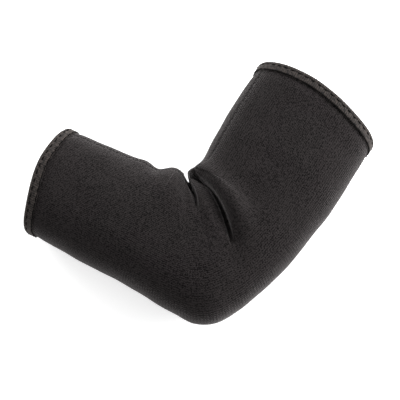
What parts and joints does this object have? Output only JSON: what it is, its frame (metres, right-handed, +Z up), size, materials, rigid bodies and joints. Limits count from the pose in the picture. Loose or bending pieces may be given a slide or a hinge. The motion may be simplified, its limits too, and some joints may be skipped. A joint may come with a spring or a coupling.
{
  "type": "elbow brace",
  "caption": "Slip-on compression sleeve of foam cloth for a bent elbow, a tapering tube with a sewn tape over the edge of each opening.",
  "frame": {"origin": "on the surface that the sleeve lies on, below the crossing of the forearm part's axis and the upper arm part's axis", "axes": "+Z up, square to the plane of the bend; -X from the elbow along the forearm part to the wrist opening; the upper arm part points towards +Y, 85 degrees from +X"},
  "size_m": [0.2058, 0.1906, 0.0687],
  "materials": {
    "foam_cloth": "black neoprene foam faced with fine nylon jersey, matt with a soft sheen at grazing angles",
    "edge_tape": "dark grey-brown knitted binding tape, sewn with two rows of black thread"
  },
  "bodies": {
    "root": {"sleeve": "foam_cloth", "wrist_tape": "edge_tape", "upper_arm_tape": "edge_tape"}
  },
  "joints": []
}
